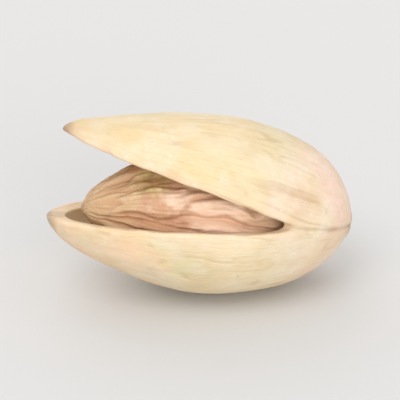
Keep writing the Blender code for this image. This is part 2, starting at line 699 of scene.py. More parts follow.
@dataclass
class Shell:
    """The two woody valves, joined at the stem end and open from the tip.

    Attributes:
        egg: The outside of the closed shell.
        cuts: Cuts along each edge of the cube that a skin starts from.
        levels: Levels of smooth subdivision.
        wall: How thick it is.
        opening: How the valves part.
        lips: Their free edges.
        seam: The closed seam.
        veins: The sunken lines.
        scar: The scar at the stem end.
        swell: Height of the broad swellings.
        swell_ripple: How they run.
        dimple: Height of the small dimples.
        dimple_ripple: How they run.
        pit: Depth of the pits.
        pits: Where they are.
        lining_swell: How much of a swelling shows on the lining.
        lining_vein: How much of a vein stands out on the lining.
        pit_line: How much a pit is tinted, next to a vein.
        finish_grain: What the finish's grain is laid on, around and lengthwise.
        valve_blend: How far from the seam plane a valve's own tints are full.
        pose: How the nut lies.
    """

    egg: Egg = Egg(
        length=21.0 * MM,
        width=13.0 * MM,
        upper_depth=5.6 * MM,
        lower_depth=5.85 * MM,
        width_outline=(0.83, 0.60),
        upper_outline=(0.655, 0.79),
        lower_outline=(0.76, 0.70),
        beak=2.2 * MM,
    )
    cuts: int = 19
    levels: int = 2
    wall: Wall = Wall()
    opening: Opening = Opening()
    lips: Lips = Lips()
    seam: Seam = Seam()
    veins: Veins = Veins()
    scar: Scar = Scar()
    swell: float = 0.11 * MM
    swell_ripple: Ripple = Ripple(4.2 * MM, 2, 1)
    dimple: float = 0.030 * MM
    dimple_ripple: Ripple = Ripple(1.1 * MM, 2, 2)
    pit: float = 0.060 * MM
    pits: Places = Places(Ripple(0.75 * MM, 1, 5), (0.42, 0.75))
    lining_swell: float = 0.35
    lining_vein: float = 0.5
    pit_line: float = 0.4
    finish_grain: tuple[float, float] = (6.0, 1.0)
    valve_blend: float = 1.0 * MM
    pose: LyingPose = LyingPose()

    def inner_egg(self) -> Egg:
        """Works out the inside of the closed shell's wall.

        Returns:
            The egg that the inner skin is wrapped on.
        """
        return replace(
            self.egg,
            length=self.egg.length - self.wall.stem - self.wall.tip,
            width=self.egg.width - 2.0 * self.wall.side,
            upper_depth=self.egg.upper_depth - self.wall.side,
            lower_depth=self.egg.lower_depth - self.wall.side,
            middle_x=(self.wall.tip - self.wall.stem) / 2.0,
        )

    def skin(self, which: Skin) -> bpy.types.Object:
        """Models one skin of the wall, split along its seam and opened.

        Args:
            which: The skin.

        Returns:
            The skin, open along the split.
        """
        egg = self.egg if which is Skin.OUTER else self.inner_egg()
        skin = model_ball(f"{which.name.lower()}_skin", self.cuts)
        move_points(skin, egg.wrap(points_of(skin)))
        self.part_seam(skin, egg)
        closed = points_of(skin)
        store(skin, "closed", closed)
        store(skin, "inside", np.full(len(closed), which.value))
        self.open_valves(skin, closed)
        return skin

    def part_seam(self, skin: bpy.types.Object, egg: Egg) -> None:
        """Parts a skin along its seam, from where each side's split ends to the tip.

        Args:
            skin: The closed skin.
            egg: Its shape.
        """
        points = points_of(skin)
        share = egg.share_at(points[:, 0])
        across = points[:, 1] + egg.lean * share**3
        ends = np.empty(len(skin.data.edges) * 2, np.int32)
        skin.data.edges.foreach_get("vertices", ends)
        first, second = ends.reshape(-1, 2).T
        on_seam = (points[first, 2] == 0.0) & (points[second, 2] == 0.0)
        near = across[first] + across[second] < 0.0
        split_end = np.where(near, self.opening.near_end, self.opening.far_end)
        past_end = np.minimum(share[first], share[second]) > split_end
        with editing(skin, on_seam & past_end):
            bpy.ops.mesh.edge_split(type="EDGE")

    def valve_sides(self, skin: bpy.types.Object, closed: np.ndarray) -> np.ndarray:
        """Tells the valves apart.

        Args:
            skin: The parted skin.
            closed: The places of its vertices.

        Returns:
            For each vertex 1 on the upper valve, -1 on the lower, and 0 on the joined seam.
        """
        mesh = skin.data
        corners = np.empty(len(mesh.loops), np.int32)
        mesh.loops.foreach_get("vertex_index", corners)
        sizes = np.empty(len(mesh.polygons), np.int32)
        mesh.polygons.foreach_get("loop_total", sizes)
        centres = np.empty(len(mesh.polygons) * 3)
        mesh.polygons.foreach_get("center", centres)
        heights = np.repeat(centres.reshape(-1, 3)[:, 2], sizes)
        highest = np.full(len(closed), -np.inf)
        lowest = np.full(len(closed), np.inf)
        np.maximum.at(highest, corners, heights)
        np.minimum.at(lowest, corners, heights)
        beside = np.where(lowest > 0.0, 1.0, np.where(highest < 0.0, -1.0, 0.0))
        return np.where(closed[:, 2] == 0.0, beside, np.sign(closed[:, 2]))

    def past_split(self, closed: np.ndarray) -> np.ndarray:
        """Measures how far points lie past the end of the split, towards the tip.

        Args:
            closed: Places on the closed shell.

        Returns:
            The distance for each point, negative where the seam is closed.
        """
        towards_far = np.clip(closed[:, 1] / self.egg.width + 0.5, 0.0, 1.0)
        lag = (self.opening.far_end - self.opening.near_end) * towards_far
        split_end = (self.opening.near_end + lag) * self.egg.length
        return self.egg.length / 2.0 - closed[:, 0] - split_end

    def open_valves(self, skin: bpy.types.Object, closed: np.ndarray) -> None:
        """Bends each valve out from the joined stem end, a little less on the far side.

        Args:
            skin: The parted skin.
            closed: The places of its vertices.
        """
        opening, lips = self.opening, self.lips
        past_split = self.past_split(closed)
        bend_before_split = opening.near_end * self.egg.length - opening.bend_start
        past_bend = np.maximum(past_split + bend_before_split, 0.0)
        bent = np.where(
            past_bend < opening.bend_length,
            past_bend**2 / (2.0 * opening.bend_length),
            past_bend - opening.bend_length / 2.0,
        )
        apart = 1.0 - np.exp(-np.maximum(past_split, 0.0) / lips.fade)
        rise = math.tan(opening.valve_angle) * bent + lips.gap * bell(closed[:, 2], lips.depth) * apart
        side = self.valve_sides(skin, closed)
        curve = opening.tip_upturn * (past_bend / self.egg.length) ** 3
        upturn = np.where(side > 0.0, curve, 0.0)
        opened = closed.copy()
        opened[:, 2] += side * rise + upturn
        move_points(skin, opened)

    def join_skins(self, outer: bpy.types.Object, inner: bpy.types.Object) -> bpy.types.Object:
        """Joins the two skins and closes the wall along its rims.

        Args:
            outer: The outer skin.
            inner: The inner skin.

        Returns:
            The shell, one closed surface with its faces pointing out of the wall.
        """
        select_only(outer)
        inner.select_set(True)
        bpy.ops.object.join()
        shell = outer
        with editing(shell):
            bpy.ops.mesh.select_all(action="DESELECT")
            bpy.ops.mesh.select_non_manifold(
                extend=False, use_wire=False, use_multi_face=False,
                use_non_contiguous=False, use_verts=False,
            )
            bpy.ops.mesh.bridge_edge_loops(number_cuts=self.lips.rim_cuts, interpolation="LINEAR")
            bpy.ops.mesh.select_all(action="SELECT")
            bpy.ops.mesh.normals_make_consistent(inside=False)
        return shell

    def build(self, name: str) -> bpy.types.Object:
        """Models the shell in its own frame.

        Args:
            name: The piece's name.

        Returns:
            The shell, with its relief, not yet laid down.
        """
        shell = self.join_skins(self.skin(Skin.OUTER), self.skin(Skin.INNER))
        shell.name = shell.data.name = name
        smooth_surface(shell, self.levels)
        self.carve(shell)
        return shell

    def carve(self, shell: bpy.types.Object) -> None:
        """Gives the wall its relief, and keeps what the finish follows as attributes.

        Args:
            shell: The smooth shell, in its own frame.
        """
        closed = recall(shell, "closed")
        inside = recall(shell, "inside")
        outer = ramp(inside, self.wall.middle, Skin.OUTER.value)
        inner = ramp(inside, self.wall.middle, Skin.INNER.value)
        rim = 1.0 - outer - inner
        share, _ = self.egg.bearings(closed)
        height = np.abs(closed[:, 2])
        apart = ramp(self.past_split(closed), 0.0, self.lips.parting)

        swell = self.swell_ripple.at(closed)
        vein = self.veins.at(self.egg, closed, share, swell)
        pit = self.pits.at(closed)
        groove = self.seam.groove_at(closed) * (1.0 - apart)
        lip = np.exp(-height / self.lips.roll_depth) * apart
        scar, moat, pore = self.scar.at(closed, share)
        outer_relief = (
            self.swell * swell
            + self.dimple * self.dimple_ripple.at(closed)
            - self.veins.depth * vein
            - self.pit * pit
            - self.seam.groove * groove
            + self.seam.ridge * self.seam.ridge_at(closed, share)
            + self.lips.roll * lip
            + self.scar.height * scar * self.scar.fibres_at(closed)
            - self.scar.moat * moat
            - self.scar.pore * pore
        )
        inner_relief = (
            self.lining_swell * self.swell * swell + self.lining_vein * self.veins.depth * vein
        )
        rim_relief = self.lips.rim_height * self.lips.rim_ripple.at(closed)
        relief = outer_relief * outer + inner_relief * inner + rim_relief * rim
        wave = self.lips.wave * self.lips.wave_ripple.at(closed * self.lips.wave_axes)

        moved = points_of(shell) + normals_of(shell) * relief[:, None]
        moved[:, 2] += wave * bell(height, self.lips.depth) * apart
        move_points(shell, moved)

        store(shell, "grain", self.egg.grain(closed, *self.finish_grain))
        store(shell, "along", share)
        store(shell, "lip", np.maximum(lip, rim))
        store(shell, "furrow", np.clip(vein + self.pit_line * pit, 0.0, 1.0) * outer)
        store(shell, "seam", groove * outer)
        store(shell, "scar", scar * outer)
        store(shell, "pore", pore * outer)
        store(shell, "above", ramp(closed[:, 2], -self.valve_blend, self.valve_blend))
        log.info("shell relief from %.3f to %.3f mm", relief.min() / MM, relief.max() / MM)

    def settle(self, shell: bpy.types.Object, low: Vector, high: Vector) -> Vector:
        """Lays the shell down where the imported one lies, and flattens its resting spot.

        Args:
            shell: The shell, in its own frame.
            low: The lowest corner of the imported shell.
            high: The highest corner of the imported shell.

        Returns:
            How far the nut moves after its turn, for the kernel to follow.
        """
        turn = np.array(self.pose.turn().to_3x3())
        turned = points_of(shell) @ turn.T
        middle = (turned.min(axis=0) + turned.max(axis=0)) / 2.0
        floor = turned[:, 2].min() + self.pose.flat_spot
        centre = (low + high) / 2.0
        shift = Vector((centre.x - middle[0], centre.y - middle[1], low.z - floor))
        self.pose.lay(shell, shift)
        lying = points_of(shell)
        lying[:, 2] = np.maximum(lying[:, 2], low.z)
        move_points(shell, lying)
        return shift


@dataclass(frozen=True)
class WornSpot:
    """A place where the kernel's thin skin has worn off its green flesh.

    Attributes:
        share: Share of the length from the stem end.
        across: How far round it faces +Y, from -1 to 1.
        up: How far round it faces +Z, from -1 to 1.
        radius: How far it reaches.
    """

    share: float
    across: float
    up: float
    radius: float


@dataclass(frozen=True)
class Wrinkles:
    """The wrinkles of the kernel's skin.

    Attributes:
        standing: How far the skin stands out where it isn't wrinkled.
        swell: Depth of the broad hollows.
        swell_ripple: How they run.
        furrow: Depth of the main furrows.
        furrow_net: Their pattern.
        sharpness: How sharply a furrow sinks towards its middle.
        fine: Depth of the fine furrows.
        fine_net: Their pattern.
        crinkle: Height of the crinkles.
        crinkle_ripple: How they run.
        crinkle_top: Where their tops are cut off.
        cleft: Depth of the cleft along both sides.
        cleft_width: Half the width of the cleft.
        cleft_sway: How far the cleft sways.
        cleft_ripple: How it sways.
        stem_fade: Shares of the length over which furrows and cleft start.
        tip_fade: Shares of the length over which they run out at the tip.
        fine_line: How much painted shade a fine furrow gets, next to a main one.
    """

    standing: float = 0.06 * MM
    swell: float = 0.22 * MM
    swell_ripple: Ripple = Ripple(3.6 * MM, 2, 21)
    furrow: float = 0.26 * MM
    furrow_net: Net = Net(around=2.7, lengthwise=1.7, sway=0.45, width=0.34, seed=22)
    sharpness: float = 1.5
    fine: float = 0.091 * MM
    fine_net: Net = Net(around=5.5, lengthwise=3.4, sway=0.5, width=0.30, seed=23)
    crinkle: float = 0.07 * MM
    crinkle_ripple: Ripple = Ripple(0.8 * MM, 3, 24)
    crinkle_top: float = 0.4
    cleft: float = 0.28 * MM
    cleft_width: float = 0.45 * MM
    cleft_sway: float = 0.5 * MM
    cleft_ripple: Ripple = Ripple(4.0 * MM, 2, 25)
    stem_fade: Span = (0.0, 0.12)
    tip_fade: Span = (1.0, 0.86)
    fine_line: float = 0.4


@dataclass
class Kernel:
    """The loose seed in its thin wrinkled skin.

    Attributes:
        egg: The seed's shape.
        centre: Its middle, in the nut's own frame.
        tilt: How far its tip end lies down.
        cuts: Cuts along each edge of the cube that it starts from.
        levels: Levels of smooth subdivision.
        wrinkles: The wrinkles of its skin.
        finish_grain: What the finish's grain is laid on, around and lengthwise.
        worn_spots: Where the skin has worn off.
        worn_edge: How far the edge of a worn spot strays.
        worn_ripple: How it strays.
        worn_core: The share of a worn spot's radius where no skin is left.
    """

    egg: Egg = Egg(
        length=17.0 * MM,
        width=9.8 * MM,
        upper_depth=4.2 * MM,
        lower_depth=3.9 * MM,
        width_outline=(0.83, 0.55),
        upper_outline=(0.84, 0.54),
        lower_outline=(0.78, 0.60),
    )
    centre: tuple[float, float, float] = (0.15 * MM, 0.0, -0.70 * MM)
    tilt: float = math.radians(-8.0)
    cuts: int = 17
    levels: int = 2
    wrinkles: Wrinkles = Wrinkles()
    finish_grain: tuple[float, float] = (5.0, 2.0)
    worn_spots: tuple[WornSpot, ...] = (
        WornSpot(0.74, -0.62, 0.78, 1.90 * MM),
        WornSpot(0.56, -0.80, 0.60, 1.00 * MM),
        WornSpot(0.50, 0.10, 1.00, 1.50 * MM),
        WornSpot(0.68, 0.84, 0.42, 1.70 * MM),
        WornSpot(0.80, 0.60, -0.75, 1.30 * MM),
    )
    worn_edge: float = 0.8 * MM
    worn_ripple: Ripple = Ripple(1.3 * MM, 4, 26)
    worn_core: float = 0.3

    def build(self, name: str) -> bpy.types.Object:
        """Models the kernel in its own frame.

        Args:
            name: The piece's name.

        Returns:
            The kernel, wrinkled, not yet laid in the shell.
        """
        kernel = model_ball(name, self.cuts)
        move_points(kernel, self.egg.wrap(points_of(kernel)))
        smooth_surface(kernel, self.levels)
        self.wrinkle(kernel)
        return kernel

    def wrinkle(self, kernel: bpy.types.Object) -> None:
        """Sinks the wrinkles into the skin, and keeps what the finish follows as attributes.

        Args:
            kernel: The smooth kernel, in its own frame.
        """
        form = self.wrinkles
        smooth = points_of(kernel)
        share, _ = self.egg.bearings(smooth)
        middle = ramp(share, *form.stem_fade) * ramp(share, *form.tip_fade)
        swell = form.swell_ripple.at(smooth)
        furrow = form.furrow_net.at(self.egg, smooth, swell) * middle
        fine = form.fine_net.at(self.egg, smooth, swell)
        crinkle = form.crinkle_ripple.at(smooth)
        off_cleft = smooth[:, 2] + form.cleft_sway * form.cleft_ripple.at(smooth)
        cleft = bell(off_cleft, form.cleft_width) * middle
        relief = (
            form.standing
            + form.swell * np.minimum(swell, 0.0)
            - form.furrow * furrow**form.sharpness
            - form.fine * fine
            + form.crinkle * np.minimum(crinkle, form.crinkle_top)
            - form.cleft * cleft
        )
        move_points(kernel, smooth + normals_of(kernel) * relief[:, None])
        store(kernel, "grain", self.egg.grain(smooth, *self.finish_grain))
        store(kernel, "along", share)
        # Where the furrows and the cleft are, darkened in the finish as painted shade
        store(kernel, "furrow", np.clip(furrow + form.fine_line * fine + cleft, 0.0, 1.0))
        store(kernel, "worn", self.worn(smooth))
        log.info("kernel relief from %.3f to %.3f mm", relief.min() / MM, relief.max() / MM)

    def worn(self, smooth: np.ndarray) -> np.ndarray:
        """Works out where the skin has worn off.

        Args:
            smooth: The places of the kernel's vertices, before it is wrinkled.

        Returns:
            For each vertex, 1 where the flesh shows and 0 where the skin is whole.
        """
        ragged = self.worn_edge * self.worn_ripple.at(smooth)
        worn = np.zeros(len(smooth))
        for spot in self.worn_spots:
            on_ball = Vector((0.0, spot.across, spot.up)).normalized()
            girth = 2.0 * math.sqrt(spot.share * (1.0 - spot.share))
            heading = np.array([[1.0 - 2.0 * spot.share, on_ball.y * girth, on_ball.z * girth]])
            away = np.linalg.norm(smooth - self.egg.wrap(heading), axis=1) + ragged
            worn = np.maximum(worn, ramp(away, spot.radius, self.worn_core * spot.radius))
        return worn

    def settle(self, kernel: bpy.types.Object, pose: LyingPose, shift: Vector) -> None:
        """Lays the kernel in the hollow of the lower valve.

        Args:
            kernel: The kernel, in its own frame.
            pose: How the nut lies.
            shift: How far the nut moves after its turn.
        """
        select_only(kernel)
        kernel.matrix_world = Matrix.Translation(self.centre) @ Matrix.Rotation(self.tilt, 4, "Y")
        bpy.ops.object.transform_apply(location=True, rotation=True, scale=True)
        pose.lay(kernel, shift)


# ---------------------------------------------------------------- finishes


@dataclass(frozen=True)
class Zone:
    """Where a tint shows, told from a value that changes over a surface.

    Attributes:
        start: The value where it starts.
        full: The value where it is full; it may be the smaller of the two.
        strength: How strong it is there.
    """

    start: float
    full: float
    strength: float = 1.0


@dataclass(frozen=True)
class Cloud:
    """Cloudy noise in a material, with values about a half.

    Attributes:
        size: How long its waves are, in the units of its coordinates.
        detail: How many layers of finer waves it has.
        rough: How strong the finer waves are.
        shift: Picks another part of the noise.
        weight: What its values are multiplied by.
    """

    size: float
    detail: float = 2.0
    rough: float = 0.5
    shift: float = 0.0
    weight: float = 1.0


@dataclass(frozen=True)
class Patches:
    """Places that a cloud picks out in a material.

    Attributes:
        cloud: The cloud.
        zone: The values of the cloud where they show.
    """

    cloud: Cloud
    zone: Zone


@dataclass(frozen=True)
class Dots:
    """Scattered round dots in a material.

    Attributes:
        spacing: How far apart they stand, in the units of their coordinates.
        radius: How large the largest is, as a share of the spacing.
        spared: What share of the places stays empty.
        strength: How strong they are.
        core: The share of a dot's radius where it is full.
    """

    spacing: float
    radius: float
    spared: float
    strength: float = 1.0
    core: float = 0.4


@dataclass(frozen=True)
class ByValve:
    """An amount that isn't the same on the two valves.

    Attributes:
        lower: On the lower valve.
        upper: On the upper valve.
    """

    lower: float
    upper: float


class Signal:
    """A value, colour or vector in a material, for use in Python expressions."""

    def __init__(self, tree: "MaterialTree", socket: bpy.types.NodeSocket) -> None:
        """Wraps an output socket of a node in the tree."""
        self.tree = tree
        self.socket = socket

    def _math(self, operation: str, first: "Signal | float", second: "Signal | float") -> "Signal":
        """Adds one Math node and returns its result."""
        return self.tree.node("ShaderNodeMath", {"operation": operation}, {0: first, 1: second})

    def __add__(self, other: "Signal | float") -> "Signal":
        """Returns the sum."""
        return self._math("ADD", self, other)

    def __radd__(self, other: float) -> "Signal":
        """Returns the sum, with the number first."""
        return self._math("ADD", other, self)

    def __sub__(self, other: "Signal | float") -> "Signal":
        """Returns the difference."""
        return self._math("SUBTRACT", self, other)

    def __rsub__(self, other: float) -> "Signal":
        """Returns the difference, with the number first."""
        return self._math("SUBTRACT", other, self)

    def __mul__(self, other: "Signal | float") -> "Signal":
        """Returns the product."""
        return self._math("MULTIPLY", self, other)

    def __rmul__(self, other: float) -> "Signal":
        """Returns the product, with the number first."""
        return self._math("MULTIPLY", other, self)


class MaterialTree:
    """Builds the node tree of one material, around its Principled shader.

    Attributes:
        MIX_INPUTS: The Mix node's sockets for a colour's amount, first and other colour.
        MIX_RESULT: Its output for a colour.
    """

    MIX_INPUTS = (0, 6, 7)
    MIX_RESULT = 2

    def __init__(self, name: str) -> None:
        """Makes a new material.

        Args:
            name: The material's name.
        """
        self.material = bpy.data.materials.new(name)
        self.material.use_nodes = True
        self.shader = self.material.node_tree.nodes["Principled BSDF"]

    def node(
        self,
        kind: str,
        settings: dict[str, Any],
        sockets: dict[int | str, Any],
        output: int | str = 0,
    ) -> Signal:
        """Adds a node.

        Args:
            kind: The node's type.
            settings: The node's own settings, which are set first.
            sockets: A value or a signal for each input that is used.
            output: Which output is wanted.

        Returns:
            That output.
        """
        made = self.material.node_tree.nodes.new(kind)
        for name, value in settings.items():
            setattr(made, name, value)
        for key, value in sockets.items():
            self.feed(made.inputs[key], value)
        return Signal(self, made.outputs[output])

    def feed(self, target: bpy.types.NodeSocket, value: Any) -> None:
        """Links a signal to an input, or sets the input to a plain value.

        Args:
            target: The input.
            value: The signal or the value.
        """
        if isinstance(value, Signal):
            self.material.node_tree.links.new(value.socket, target)
        else:
            target.default_value = value

    def finish(self, **inputs: Any) -> bpy.types.Material:
        """Feeds the shader and returns the material.

        Args:
            **inputs: A value or a signal for each input, its name written with underscores.

        Returns:
            The finished material.
        """
        for name, value in inputs.items():
            self.feed(self.shader.inputs[name.replace("_", " ")], value)
        return self.material

    def place(self) -> Signal:
        """Adds the coordinates of the piece.

        Returns:
            Where a point lies, in millimetres.
        """
        metres = self.node("ShaderNodeTexCoord", {}, {}, output="Object")
        per_mm = {0: metres, "Scale": 1.0 / MM}
        return self.node("ShaderNodeVectorMath", {"operation": "SCALE"}, per_mm)

    def kept(self, name: str) -> Signal:
        """Returns a number that the mesh keeps for each vertex."""
        return self.node("ShaderNodeAttribute", {"attribute_name": name}, {}, output="Fac")

    def kept_vector(self, name: str) -> Signal:
        """Returns a vector that the mesh keeps for each vertex."""
        return self.node("ShaderNodeAttribute", {"attribute_name": name}, {}, output="Vector")

    def zone(self, value: Signal, zone: Zone) -> Signal:
        """Tells how strongly a zone shows.

        Args:
            value: The value that the zone is told from.
            zone: The zone.

        Returns:
            0 where the zone starts, its strength where it is full, and a smooth step between.
        """
        sockets = {
            "Value": value,
            "From Min": zone.start,
            "From Max": zone.full,
            "To Max": zone.strength,
        }
        return self.node("ShaderNodeMapRange", {"interpolation_type": "SMOOTHSTEP"}, sockets)

    def cloud(self, where: Signal, cloud: Cloud) -> Signal:
        """Adds a cloud.

        Args:
            where: The coordinates.
            cloud: The cloud.

        Returns:
            Its values, about half its weight.
        """
        sockets = {0: where, 1: (cloud.shift,) * 3}
        moved = self.node("ShaderNodeVectorMath", {"operation": "ADD"}, sockets)
        sockets = {
            "Vector": moved,
            "Scale": 1.0 / cloud.size,
            "Detail": cloud.detail,
            "Roughness": cloud.rough,
        }
        values = self.node("ShaderNodeTexNoise", {}, sockets)
        return values if cloud.weight == 1.0 else values * cloud.weight

    def patches(self, where: Signal, patches: Patches) -> Signal:
        """Returns how strongly patches show."""
        return self.zone(self.cloud(where, patches.cloud), patches.zone)

    def dots(self, where: Signal, dots: Dots) -> Signal:
        """Adds scattered dots.

        Args:
            where: The coordinates.
            dots: The dots.

        Returns:
            Their strength in the middle of a dot and 0 between them.
        """
        sockets = {"Vector": where, "Scale": 1.0 / dots.spacing}
        away = self.node("ShaderNodeTexVoronoi", {}, sockets, output="Distance")
        chance = self.node("ShaderNodeTexVoronoi", {}, sockets, output="Color")
        round_dot = self.zone(away, Zone(dots.radius, dots.core * dots.radius))
        return round_dot * self.zone(chance, Zone(dots.spared, 1.0, dots.strength))

    def by_valve(self, amount: ByValve) -> Signal:
        """Returns one amount on the lower valve and another on the upper."""
        return amount.lower + self.kept("above") * (amount.upper - amount.lower)

    def tint(self, amount: Signal, colour: Signal | Colour, other: Signal | Colour) -> Signal:
        """Returns the first colour turned into the other by that amount."""
        sockets = dict(zip(self.MIX_INPUTS, (amount, colour, other)))
        return self.node("ShaderNodeMix", {"data_type": "RGBA"}, sockets, output=self.MIX_RESULT)

    def bump(self, height: Signal, depth: float) -> Signal:
        """Returns a normal that shows heights of 0 to 1 as relief of that depth."""
        return self.node("ShaderNodeBump", {}, {"Height": height, "Distance": depth})


@dataclass(frozen=True)
class ShellFinish:
    """Dry, pale shell wood, with warm clouds, fine lines and a bloom of salt.

    The colours come first, and then where and how strongly each one shows.
    """

    ivory: Colour = paint(223, 203, 165)
    cream: Colour = paint(229, 211, 176)
    butter: Colour = paint(232, 204, 150)
    straw: Colour = paint(206, 178, 134)
    # Painted highlight: a pink tint that stands in for the light at the stem end
    pink_highlight: Colour = paint(238, 203, 186)
    # Painted highlight: a peach tint that stands in for the light along the lips and on the lower
    # valve's tip
    peach_highlight: Colour = paint(241, 201, 163)
    sage: Colour = paint(214, 206, 160)
    line: Colour = paint(178, 142, 98)
    speck: Colour = paint(140, 100, 64)
    salt: Colour = paint(240, 234, 222)
    scar: Colour = paint(186, 148, 106)
    pore: Colour = paint(112, 78, 50)
    rim: Colour = paint(229, 202, 166)
    lining: Colour = paint(240, 216, 178)
    # Darker lining colour: partly stain, partly painted shade deep inside the shell
    lining_stain_and_shade: Colour = paint(226, 196, 152)

    # Broad colours of the outside
    drift: Cloud = Cloud(3.0, 2.0, 0.5, 31.0)
    middle: float = 0.5
    creamy: Patches = Patches(Cloud(3.4, 3.0), Zone(0.36, 0.62))
    tip_half: Zone = Zone(0.30, 0.85)
    buttery: ByValve = ByValve(0.15, 0.70)
    # Where the painted pink highlight shows: the stem end, stronger on the upper valve
    stem_drift: float = 0.6
    stem_end: Zone = Zone(0.36, 0.06)
    pink_highlight_share: ByValve = ByValve(0.40, 0.85)
    strawy: Patches = Patches(Cloud(4.4, 3.0, 0.6, 11.0), Zone(0.50, 0.72, 0.45))
    greenish: Patches = Patches(Cloud(4.2, 2.0, 0.5, 23.0), Zone(0.52, 0.72))
    green: ByValve = ByValve(0.55, 0.35)
    # Where the painted peach highlight shows: the tip third, mostly on the lower valve, and along the
    # lips and rim
    tip_third: Zone = Zone(0.60, 0.94)
    peach_highlight_share: ByValve = ByValve(0.75, 0.10)
    lip_highlight: float = 0.4
    brown_tip: Zone = Zone(0.965, 1.0, 0.50)

    # Its fine marks
    streaks: Patches = Patches(Cloud(0.16, 3.0, 0.6, 5.0), Zone(0.48, 0.72, 0.40))
    hairs: Patches = Patches(Cloud(0.055, 2.0, 0.5, 13.0), Zone(0.58, 0.74, 0.30))
    furrow_line: float = 0.40
    specks: Dots = Dots(0.85, 0.16, 0.72, 0.45)
    seam_line: float = 0.50
    scar_least: float = 0.3
    scar_fibre: Cloud = Cloud(0.35, 3.0, 0.7, 53.0, 0.8)
    pore_dark: float = 0.7

    # The lining and the rim, from the mark that tells how far inside the wall a point is
    lined: Zone = Zone(0.70, 0.98)
    rimmed: Zone = Zone(0.06, 0.30, 0.85)
    # Stain clouds on the lining, and painted shade that darkens it towards the stem end
    stain: Cloud = Cloud(2.6, 3.0, 0.6, 61.0)
    stain_lines: Cloud = Cloud(0.3, 2.0, 0.5, 67.0, 0.4)
    stem_shade_gradient: float = 0.5
    stain_and_shade: Zone = Zone(0.30, 0.66)

    # Salt
    salted: Patches = Patches(Cloud(2.4, 2.0, 0.5, 71.0), Zone(0.40, 0.64))
    haze: Cloud = Cloud(0.5, 3.0, 0.7, 79.0, 0.45)
    grains: Dots = Dots(0.32, 0.36, 0.45)
    grain_share: float = 0.55
    salt_cover: float = 0.95

    # Bump and gloss
    pores: Cloud = Cloud(0.20, 3.0, 0.65, 83.0, 0.35)
    lines: Cloud = Cloud(0.07, 2.0, 0.6, 89.0, 0.55)
    dents: Cloud = Cloud(0.75, 2.0, 0.5, 101.0, 0.8)
    grain_height: float = 0.25
    bump_depth: float = 0.07 * MM
    roughness: float = 0.44
    salt_roughness: float = 0.25
    lining_gloss: float = 0.12
    uneven_gloss: Cloud = Cloud(0.6, 2.0, 0.5, 97.0, 0.16)
    refraction: float = 1.45

    def outside(self, tree: MaterialTree, place: Signal, grain: Signal) -> Signal:
        """Mixes the colour of the shell's outside.

        Args:
            tree: The material's tree.
            place: Where a point lies, in millimetres.
            grain: Coordinates along the shell's meridians.

        Returns:
            The colour.
        """
        along = tree.kept("along")
        drift = tree.cloud(place, self.drift) - self.middle
        colour = tree.tint(tree.patches(place, self.creamy), self.ivory, self.cream)
        butter = tree.zone(along + drift, self.tip_half) * tree.by_valve(self.buttery)
        colour = tree.tint(butter, colour, self.butter)
        # Painted pink highlight at the stem end, stronger on the upper valve
        pink_highlight = tree.zone(along + drift * self.stem_drift, self.stem_end)
        colour = tree.tint(pink_highlight * tree.by_valve(self.pink_highlight_share), colour, self.pink_highlight)
        colour = tree.tint(tree.patches(place, self.strawy), colour, self.straw)
        sage = tree.patches(place, self.greenish) * tree.by_valve(self.green)
        colour = tree.tint(sage, colour, self.sage)
        # Painted peach highlight on the lower valve's tip third, and along the lips and rim
        peach_highlight = tree.zone(along + drift, self.tip_third) * tree.by_valve(self.peach_highlight_share)
        colour = tree.tint(peach_highlight, colour, self.peach_highlight)
        colour = tree.tint(tree.kept("lip") * self.lip_highlight, colour, self.peach_highlight)
        colour = tree.tint(tree.patches(grain, self.streaks), colour, self.straw)
        colour = tree.tint(tree.patches(grain, self.hairs), colour, self.line)
        colour = tree.tint(tree.kept("furrow") * self.furrow_line, colour, self.line)
        colour = tree.tint(tree.dots(place, self.specks), colour, self.speck)
        colour = tree.tint(tree.zone(along, self.brown_tip), colour, self.speck)
        colour = tree.tint(tree.kept("seam") * self.seam_line, colour, self.speck)
        fibre = tree.cloud(place, self.scar_fibre) + self.scar_least
        colour = tree.tint(tree.kept("scar") * fibre, colour, self.scar)
        return tree.tint(tree.kept("pore") * self.pore_dark, colour, self.pore)

    def inside(self, tree: MaterialTree, place: Signal, grain: Signal) -> Signal:
        """Mixes the colour of the smooth lining: stain clouds, and painted shade that darkens it deep
        inside towards the stem end and lightens it towards the open tip.

        Args:
            tree: The material's tree.
            place: Where a point lies, in millimetres.
            grain: Coordinates along the shell's meridians.

        Returns:
            The colour.
        """
        stain = tree.cloud(place, self.stain) + tree.cloud(grain, self.stain_lines)
        # Painted shade deep inside towards the stem end, over the stain clouds
        deep = tree.zone(stain - tree.kept("along") * self.stem_shade_gradient, self.stain_and_shade)
        return tree.tint(deep, self.lining, self.lining_stain_and_shade)

    def material(self) -> bpy.types.Material:
        """Makes the material.

        Returns:
            The finished material, for the whole shell.
        """
        tree = MaterialTree("shell_wood")
        place = tree.place()
        grain = tree.kept_vector("grain")
        inner = tree.zone(tree.kept("inside"), self.lined)
        rim = tree.zone(tree.kept("inside"), self.rimmed)
        colour = tree.tint(rim, self.outside(tree, place, grain), self.rim)
        colour = tree.tint(inner, colour, self.inside(tree, place, grain))
        salted = tree.patches(place, self.salted)
        grains = tree.dots(place, self.grains)
        salt = salted * (tree.cloud(place, self.haze) + grains * self.grain_share) * (1 - inner)
        colour = tree.tint(salt * self.salt_cover, colour, self.salt)
        height = (
            tree.cloud(place, self.pores)
            + tree.cloud(grain, self.lines)
            + tree.cloud(place, self.dents)
            + grains * salted * self.grain_height
        )
        rough = self.roughness + salt * self.salt_roughness - inner * self.lining_gloss
        return tree.finish(
            Base_Color=colour,
            Roughness=rough + tree.cloud(place, self.uneven_gloss),
            Normal=tree.bump(height, self.bump_depth),
            IOR=self.refraction,
        )


